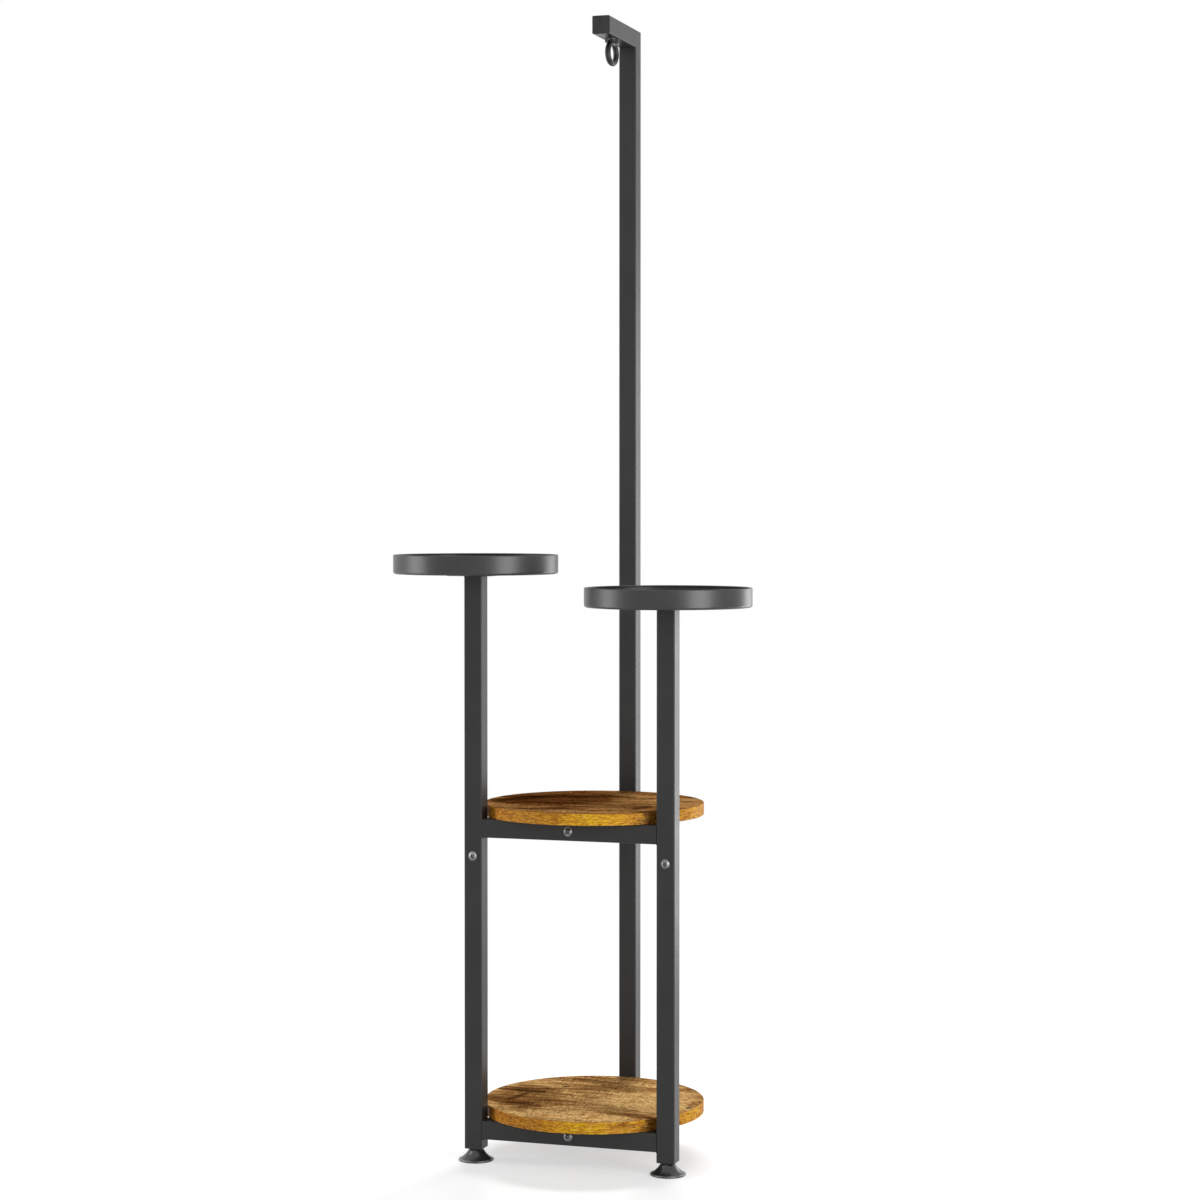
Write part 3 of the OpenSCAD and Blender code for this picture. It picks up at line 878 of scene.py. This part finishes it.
@dataclass
class Tubework:
    """The weld beads where the crossbars meet the legs and where the legs carry the plates under the trays.

    Bars and trays are the heights of their undersides, and sunk is how deep a bead lies in its corner.
    """

    tube: float = 25 * MM
    bars: Pair = (31 * MM, 438 * MM)
    trays: Pair = (792 * MM, 750 * MM)
    plate: float = 2.5 * MM
    bead_r: float = 0.665 * MM
    swell: float = 1.3
    sides: int = 10
    ripples: int = 11
    sunk: float = 0.25 * MM
    bar_bead: float = 19.5 * MM
    bar_set_back: float = 1.2 * MM
    plate_bead: float = 22 * MM

    def bead_piece(self, length: float) -> Object:
        """Draws out one rippled bead along Y, centred on the origin.

        Args:
            length: the bead's length.

        Returns:
            The bead.
        """
        Bench.clear()
        start = -length / 2
        bpy.ops.mesh.primitive_circle_add(
            vertices=self.sides,
            radius=self.bead_r,
            fill_type="NGON",
            location=(0, start, 0),
            rotation=(math.pi / 2, 0, 0),
        )
        bead = bpy.context.object
        Bench.settle(bead)
        Bench.edit(bead)
        step = length / (2 * self.ripples)
        for count in range(2 * self.ripples):
            bpy.ops.mesh.extrude_region_move(TRANSFORM_OT_translate={"value": (0, step, 0)})
            grow = self.swell if count % 2 == 0 else 1 / self.swell
            middle = (0, start + (count + 1) * step, 0)
            bpy.ops.transform.resize(value=(grow, 1, grow), center_override=middle)
        Bench.leave()
        Bench.close(bead)
        return bead

    def bar_beads(self, bar_z: float, name: str) -> Object:
        """Lays the beads above and below both ends of a crossbar.

        Args:
            bar_z: the height of the bar's underside.
            name: the name of the piece.

        Returns:
            The four beads.
        """
        inner = LEG_X - self.tube / 2 - self.sunk
        places = [
            Matrix.Translation((side * inner, LEG_Y - self.bar_set_back, height))
            for side in (-1, 1)
            for height in (bar_z - self.sunk, bar_z + self.tube + self.sunk)
        ]
        return Bench.join(Bench.copies(self.bead_piece(self.bar_bead), places), name)

    def plate_beads(self, x: float, tray_z: float, name: str) -> Object:
        """Lays the four beads between a leg's top and the plate under its tray.

        Args:
            x: the leg's place across the stand.
            tray_z: the height of the tray's underside.
            name: the name of the piece.

        Returns:
            The four beads.
        """
        middle = Matrix.Translation((x, LEG_Y, tray_z - self.plate - self.sunk))
        out = Matrix.Translation((self.tube / 2 + self.sunk, 0, 0))
        places = [middle @ Matrix.Rotation(math.radians(turn), 4, "Z") @ out for turn in (0, 90, 180, 270)]
        return Bench.join(Bench.copies(self.bead_piece(self.plate_bead), places), name)

    def build(self, finish: Material) -> None:
        """Builds and dresses all the beads.

        Args:
            finish: the frame's coat.
        """
        lower, middle = self.bars
        left, right = self.trays
        for piece in (
            self.bar_beads(lower, "weld_crossbar_lower"),
            self.bar_beads(middle, "weld_crossbar_middle"),
            self.plate_beads(-LEG_X, left, "weld_tray_plate_left"),
            self.plate_beads(LEG_X, right, "weld_tray_plate_right"),
        ):
            Bench.smooth(piece, 60.0)
            Bench.fit(piece, Body.STAND, Slot.TUBE, finish)


@dataclass
class LevellingStuds:
    """The threaded studs of the three levelling feet."""

    diameter: float = 8 * MM
    pitch: float = 1.25 * MM
    depth: float = 0.68 * MM
    bottom: float = 8.5 * MM
    top: float = 37 * MM
    steps: int = 28
    feet: tuple[tuple[str, float, float, Body], ...] = (
        ("left", -LEG_X, LEG_Y, Body.LEFT_SCREW),
        ("right", LEG_X, LEG_Y, Body.RIGHT_SCREW),
        ("rear", 0.0, POST_Y, Body.REAR_SCREW),
    )

    def stud(self) -> Object:
        """Cuts the thread: one V of the profile is wound up round Z.

        Returns:
            The stud, round the Z axis.
        """
        Bench.clear()
        bpy.ops.mesh.primitive_circle_add(vertices=4, radius=1.0, rotation=(math.pi / 2, 0, 0))
        stud = bpy.context.object
        Bench.settle(stud)
        Bench.edit(stud)
        bpy.ops.transform.resize(value=(self.depth, 1, self.pitch / 2))
        bpy.ops.transform.translate(value=(self.diameter / 2 - self.depth, 0, self.bottom + self.pitch / 2))
        bpy.ops.mesh.select_all(action="DESELECT")
        Bench.leave()
        min(stud.data.vertices, key=lambda point: point.co.x).select = True
        bpy.ops.object.mode_set(mode="EDIT")
        bpy.ops.mesh.select_mode(type="VERT")
        bpy.ops.mesh.delete(type="VERT")
        Bench.leave()
        wind = stud.modifiers.new("wind", "SCREW")
        wind.axis = "Z"
        wind.steps = wind.render_steps = self.steps
        wind.screw_offset = self.pitch
        wind.iterations = int((self.top - self.bottom) / self.pitch) - 1
        Bench.only(stud)
        bpy.ops.object.modifier_apply(modifier=wind.name)
        Bench.close(stud, 0.01 * MM)
        Bench.smooth(stud, 35.0)
        return stud

    def build(self, finish: Material) -> None:
        """Builds and dresses the three studs.

        Args:
            finish: the studs' zinc.
        """
        places = [Matrix.Translation((x, y, 0)) for _, x, y, _ in self.feet]
        for (side, _, _, body), piece in zip(self.feet, Bench.copies(self.stud(), places)):
            Bench.settle(piece)
            piece.name = piece.data.name = f"threaded_stud_{side}"
            Bench.fit(piece, body, Slot.ZINC, finish, f"foot_stud_{side}")


@dataclass
class HangingEye:
    """The forged eye under the arm: a round bar ring that grows out of its collar."""

    y: float = 91.465 * MM
    seat: float = 1529 * MM
    ring_d: float = 36 * MM
    bar_d: float = 8 * MM
    turn: float = -6.5
    neck_d: float = 10 * MM
    neck_l: float = 1.6 * MM
    collar_d: float = 20 * MM
    collar_t: float = 3 * MM
    shank_d: float = 8 * MM
    shank_l: float = 16 * MM
    tip_d: float = 6.4 * MM
    tip_l: float = 1 * MM
    voxel: float = 0.36 * MM

    def ring(self) -> Object:
        """Bends the bar into its ring.

        Returns:
            The ring.
        """
        Bench.clear()
        bpy.ops.mesh.primitive_torus_add(
            major_radius=(self.ring_d - self.bar_d) / 2,
            minor_radius=self.bar_d / 2,
            major_segments=120,
            minor_segments=40,
            location=(0, self.y, self.seat - self.ring_d / 2),
            rotation=(0, math.pi / 2, math.radians(self.turn)),
        )
        return bpy.context.object

    def collar(self) -> Object:
        """Turns the collar, with its neck drawn down to the bar and its shank drawn up into the arm.

        Returns:
            The collar with neck and shank.
        """
        Bench.clear()
        bpy.ops.mesh.primitive_cylinder_add(
            vertices=72,
            radius=self.collar_d / 2,
            depth=self.collar_t,
            location=(0, self.y, self.seat - self.collar_t / 2),
        )
        collar = bpy.context.object
        Bench.settle(collar)
        self._draw_out(collar, -1, [(self.neck_d / self.collar_d, self.neck_l)])
        shoulder = (self.shank_d / self.collar_d, 0.0)
        shank = (1.0, self.shank_l - self.tip_l)
        tip = (self.tip_d / self.shank_d, self.tip_l)
        self._draw_out(collar, 1, [shoulder, shank, tip])
        return collar

    def _draw_out(self, collar: Object, side: int, steps: list[Pair]) -> None:
        """Extrudes the collar's end face step by step.

        Args:
            collar: the object.
            side: 1 for the upper face and -1 for the lower one.
            steps: the scale and the height of each step.
        """
        Bench.edit(collar, "DESELECT")
        bpy.ops.mesh.select_mode(type="FACE")
        Bench.leave()
        end = max(collar.data.polygons, key=lambda face: side * face.center.z)
        end.select = True
        height = end.center.z
        bpy.ops.object.mode_set(mode="EDIT")
        for scale, rise in steps:
            height += side * rise
            bpy.ops.mesh.extrude_region_move(TRANSFORM_OT_translate={"value": (0, 0, side * rise)})
            bpy.ops.transform.resize(value=(scale, scale, 1), center_override=(0, self.y, height))
        Bench.leave()

    def build(self, finish: Material) -> None:
        """Forges ring and collar into one and dresses the eye.

        Args:
            finish: the eye's coat.
        """
        eye = Bench.join([self.ring(), self.collar()], "forged_eye")
        Bench.only(eye)
        forge = eye.modifiers.new("forge", "REMESH")
        forge.mode = "VOXEL"
        forge.voxel_size = self.voxel
        soften = eye.modifiers.new("soften", "CORRECTIVE_SMOOTH")
        soften.factor = 0.6
        soften.iterations = 8
        soften.use_only_smooth = True
        for modifier in (forge.name, soften.name):
            bpy.ops.object.modifier_apply(modifier=modifier)
        bpy.ops.object.shade_smooth()
        Bench.fit(eye, Body.STAND, Slot.EYE, finish, "hook_eye")


# ---- the studio


@dataclass
class Softbox:
    """One lamp: an area light round the stand that looks at a point of it.

    Azimuth is the angle from -Y towards +X, in degrees. A lamp can be for highlights alone or for plain
    light alone.
    """

    name: str
    azimuth: float
    distance: float
    height: float
    aim: Point
    size: Pair
    radiance: float
    mirrored: bool = True
    lighting: bool = True

    def build(self) -> None:
        """Hangs the lamp. Its power gives its face the wanted radiance."""
        light = bpy.data.lights.new(self.name, "AREA")
        light.shape = "RECTANGLE"
        light.size, light.size_y = self.size
        light.energy = self.radiance * math.pi * self.size[0] * self.size[1]
        angle = math.radians(self.azimuth)
        lamp = bpy.data.objects.new(self.name, light)
        lamp.location = (self.distance * math.sin(angle), -self.distance * math.cos(angle), self.height)
        lamp.rotation_euler = (Vector(self.aim) - lamp.location).to_track_quat("-Z", "Y").to_euler()
        lamp.visible_camera = False
        lamp.visible_glossy = self.mirrored
        lamp.visible_diffuse = self.lighting
        bpy.context.scene.collection.objects.link(lamp)


@dataclass
class Studio:
    """The floor, the lamps, the white round them and the camera."""

    eye: Point = (1.1673, -3.55685, 0.88255)
    pan: float = 17.9923
    tilt: float = -1.197
    lens: float = 82.551
    shift: float = -0.03
    floor_radius: float = 3.0
    floor_ring: float = 1.5
    floor_z: float = -0.1 * MM
    ambient: float = 0.25

    def floor(self) -> None:
        """Lays the floor as a round sheet. It sinks with the lowest foot when the feet are screwed out."""
        Bench.clear()
        bpy.ops.mesh.primitive_circle_add(
            vertices=96, radius=self.floor_radius, fill_type="NGON", location=(0, 0, self.floor_z)
        )
        sheet = bpy.context.object
        Bench.settle(sheet)
        Bench.edit(sheet)
        bpy.ops.mesh.inset(thickness=self.floor_ring)
        Bench.leave()
        sheet.name = "studio_floor"
        sheet.data.materials.append(FloorSheet().build())
        for body in (Body.LEFT_SCREW, Body.RIGHT_SCREW, Body.REAR_SCREW):
            under = sheet.constraints.new("FLOOR")
            under.target = frame["bodies"][body.value]
            under.floor_location = "FLOOR_NEGATIVE_Z"

    def lamps(self) -> None:
        """Hangs the lamps."""
        middle, floor = (0.0, 0.0, 0.75), (0.0, 0.0, 0.05)
        for lamp in (
            Softbox("key_above_behind", -172.04, 1.949, 1.97, floor, (1.4, 0.35), 38.0, mirrored=False),
            Softbox("strip_left", -67, 1.9, 0.85, middle, (0.85, 1.7), 3.8, lighting=False),
            Softbox("strip_right", 59, 1.9, 0.85, middle, (0.85, 1.7), 5.2, lighting=False),
            Softbox("panel_back_right", 148, 2.0, 0.62, middle, (0.9, 1.35), 2.8),
            Softbox("fill_left", -76, 1.9, 0.85, middle, (0.42, 1.7), 4.5, mirrored=False),
            Softbox("fill_right", 62, 1.9, 0.85, middle, (0.5, 1.7), 5.5, mirrored=False),
            Softbox("fill_front", 8, 3.2, 1.3, middle, (1.6, 1.2), 2.4, mirrored=False),
        ):
            lamp.build()

    def surround(self) -> None:
        """Sets the world: white where it is seen or mirrored, softer where it lights."""
        world = bpy.data.worlds.new("studio_white")
        bpy.context.scene.world = world
        world.use_nodes = True
        nodes, links = world.node_tree.nodes, world.node_tree.links
        strength = nodes.new("ShaderNodeMapRange")
        strength.inputs["To Min"].default_value = self.ambient
        strength.inputs["To Max"].default_value = 1.0
        links.new(seen_rays(world.node_tree), strength.inputs["Value"])
        background = nodes["Background"]
        background.inputs["Color"].default_value = (1, 1, 1, 1)
        links.new(strength.outputs[0], background.inputs["Strength"])

    def camera(self) -> None:
        """Sets the camera at the photograph's viewing angle."""
        data = bpy.data.cameras.new("studio_camera")
        data.sensor_width = 36.0
        data.lens = self.lens
        data.shift_y = self.shift
        data.dof.use_dof = False
        camera = bpy.data.objects.new("studio_camera", data)
        camera.location = self.eye
        camera.rotation_euler = (math.radians(90 + self.tilt), 0, math.radians(self.pan))
        bpy.context.scene.collection.objects.link(camera)
        bpy.context.scene.camera = camera

    def build(self) -> None:
        """Builds the whole studio."""
        self.camera()
        self.floor()
        self.lamps()
        self.surround()
        bpy.context.scene.view_settings.view_transform = "Standard"
        log.info("studio: floor, lamps, surround and camera")


def boards() -> dict[str, Material]:
    """Makes the two boards' finishes.

    Strokes are in millimetres: on a face from the board's middle, and on an edge from its front and foot.
    Most are stains in the print; those marked below are painted shadows and painted highlights.

    Returns:
        The finish of each board, by its piece's name.
    """
    brown, umber, soot, russet, bleach, painted_highlight = Stain
    lower_face = (
        Stroke(brown, -95, -15, 62, 75, 8, 0.8),
        Stroke(brown, -120, -46, 22, 26, 0, 0.5, 0.5),
        Stroke(brown, -126, 22, 26, 20, 0, 0.45, 0.5),
        Stroke(brown, -62, -74, 30, 10, 10, 0.45, 0.5),
        Stroke(brown, -84, -80, 48, 36, 12, 0.5, 0.7),
        Stroke(umber, -100, 17, 34, 12, -6, 0.75),
        Stroke(umber, -104, -22, 30, 7, 74, 0.75),
        Stroke(umber, -88, -58, 30, 9, 10, 0.8),
        Stroke(brown, -45, -58, 55, 8, 12, 0.8),
        Stroke(bleach, 86, 4, 90, 70, -12, 0.8, 0.5),
        Stroke(bleach, 60, 48, 50, 92, 0, 0.95, 0.6),
        Stroke(bleach, 70, -40, 60, 14, -14, 0.5),
        Stroke(bleach, -20, -112, 60, 26, 5, 0.6),
        Stroke(bleach, 52, -114, 64, 30, 4, 0.95, 0.5),
        # Painted shadow of the right leg across the front of the face.
        Stroke(brown, 84, -89, 64, 13, -14, 0.9, 0.2),
        Stroke(brown, 143, 8, 14, 26, 0, 0.8, 0.5),
        Stroke(brown, 20, 70, 80, 22, 6, 0.75),
        Stroke(umber, -30, 105, 50, 9, -8, 0.7),
        Stroke(bleach, -92, -106, 48, 12, -42, 0.25),
        Stroke(soot, 85, -113, 5, 3, 0, 0.9),
        Stroke(soot, 18, -104, 6, 3, 0, 0.8),
        Stroke(soot, 140, -20, 5, 7, 30, 0.9),
        Stroke(soot, -60, 60, 7, 5, 20, 0.85),
    )
    lower_edge = (
        # Painted highlight: the edge brighter across its front, towards the front lamp.
        Stroke(painted_highlight, 30, 8, 240, 300, 0, 1.0, 0.6),
        Stroke(russet, -96, 8, 80, 30, 0, 0.8, 0.8),
        # Painted shadow of the right leg on the edge.
        Stroke(umber, 130, 8, 26, 60, 0, 0.85, 0.7),
        # Painted shade where the edge turns away behind the left leg.
        Stroke(brown, -146, 8, 30, 60, 0, 0.9, 0.7),
        Stroke(brown, 88, 10, 16, 5, 0, 0.6),
        # Painted highlights: a brighter strip in front and one on the right side, towards the lamps.
        Stroke(painted_highlight, 30, 8, 44, 14, 0, 0.8, 0.6),
        Stroke(painted_highlight, 222, 8, 50, 14, 0, 0.7, 0.6),
    )
    middle_face = (
        Stroke(brown, -62, 20, 105, 118, 12, 0.93),
        Stroke(brown, -84, 6, 84, 96, 30, 0.7, 0.6),
        Stroke(umber, -112, 8, 60, 20, 58, 0.7),
        Stroke(umber, -34, -100, 62, 13, 21, 0.7),
        Stroke(umber, -40, 60, 80, 16, 14, 0.65),
        Stroke(umber, 84, -52, 26, 12, 80, 0.7),
        Stroke(umber, 72, -14, 40, 7, 20, 0.6),
        Stroke(umber, 116, -92, 40, 14, 60, 0.85),
        Stroke(bleach, 40, -118, 62, 11, 12, 0.6),
        Stroke(bleach, 80, 38, 66, 60, 20, 0.6, 0.6),
        Stroke(bleach, 96, 46, 50, 14, 12, 0.4),
        Stroke(bleach, 132, 28, 30, 74, 0, 0.75, 0.6),
        Stroke(umber, 58, 56, 34, 8, 30, 0.7),
        Stroke(brown, 70, 100, 60, 10, -12, 0.7),
        Stroke(soot, 118, 40, 9, 20, 70, 0.6),
        Stroke(soot, -20, -20, 7, 5, 15, 0.8),
    )
    middle_edge = (
        # Painted highlight: the edge brighter across its front, towards the front lamp.
        Stroke(painted_highlight, 30, 8, 240, 300, 0, 1.0, 0.6),
        Stroke(russet, -110, 8, 80, 30, 0, 0.7, 0.8),
        # Painted shadow of the right leg on the edge.
        Stroke(umber, 126, 8, 26, 60, 0, 0.85, 0.7),
        # Painted shade where the edge turns away behind the left leg.
        Stroke(umber, -152, 8, 18, 60, 0, 0.8, 0.7),
        # Painted highlights: a brighter strip in front and one on the right side, towards the lamps.
        Stroke(painted_highlight, 48, 8, 46, 14, 0, 0.8, 0.6),
        Stroke(painted_highlight, 225, 8, 50, 14, 0, 0.6, 0.6),
    )
    lower_print = Laminate(lower_face, shade=0.55)
    middle_print = Laminate(middle_face, tan=(0.54, 0.29, 0.1), brown=(0.285, 0.132, 0.042), shade=0.65)
    lower = RusticBoard("rustic_board_lower", 56 * MM, lower_print, EdgeBand(lower_edge))
    middle = RusticBoard("rustic_board_middle", 463 * MM, middle_print, EdgeBand(middle_edge))
    return {"shelf_lower": lower.build(), "shelf_middle": middle.build()}


def screw_sockets() -> dict[str, tuple[Pair, ...]]:
    """Lists the screws whose sockets face the front or the back.

    Returns:
        The X and Z of each screw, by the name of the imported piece.
    """
    leg_z = 413 * MM
    strut_z = (43.5, 450.5)
    post_z = (413.0, 788.67, 818.67, 1164.33, 1194.33)
    struts = tuple((0.0, z * MM) for z in strut_z)
    return {
        "leg_screws": ((-LEG_X, leg_z), (LEG_X, leg_z)),
        "strut_screws_front": struts,
        "strut_screws_rear": struts,
        "post_screws": tuple((0.0, z * MM) for z in post_z),
    }


def main() -> None:
    """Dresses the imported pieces, builds the metalwork and sets up the studio."""
    logging.basicConfig(level=logging.INFO, format="%(name)s %(message)s")
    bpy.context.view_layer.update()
    Studio().build()
    coat = PowderCoat().build()
    tray_coat = PowderCoat(
        "black_tray",
        dark=(0.017, 0.0168, 0.0166),
        light=(0.028, 0.0276, 0.0272),
        gloss=(0.3, 0.38),
        index=1.55,
        cell=1.1 * MM,
    ).build()
    eye_coat = PowderCoat(
        "black_eye",
        dark=(0.01, 0.01, 0.0098),
        light=(0.017, 0.0168, 0.0165),
        gloss=(0.26, 0.38),
        cell=1.4 * MM,
        peel=0.006 * MM,
    ).build()
    zinc = ZincPlate().build()
    foot_plastic = MouldedPlastic("foot_plastic", lip=2.2 * MM).build()
    plug_plastic = MouldedPlastic("plug_plastic", gloss=(0.42, 0.6), index=1.42, skin=0.015 * MM).build()
    dresser = Dresser()
    for name, finish in boards().items():
        dresser.dress(finish, name)
    for name, sockets in screw_sockets().items():
        dresser.dress(ZincPlate(f"zinc_{name}", sockets=sockets).build(), name)
    for finish, *starts in (
        (tray_coat, "tray_left", "tray_right"),
        (foot_plastic, "foot_base"),
        (plug_plastic, "foot_insert", "arm_end_cap"),
        (zinc, "foot_stud", "eye_insert", "leg_sleeve", "post_sleeve", "strut_plug"),
        (zinc, "tray_screws", "shelf_screws"),
        (eye_coat, "hook_eye"),
        (coat, "leg_", "crossbar", "post_", "arm", "strut_", "tray_mount"),
    ):
        dresser.dress(finish, *starts)
    if dresser.left:
        log.warning("undressed: %s", sorted(dresser.left))
    Tubework().build(coat)
    LevellingStuds().build(zinc)
    HangingEye().build(eye_coat)
    Bench.clear()


if __name__ == "__main__":
    main()
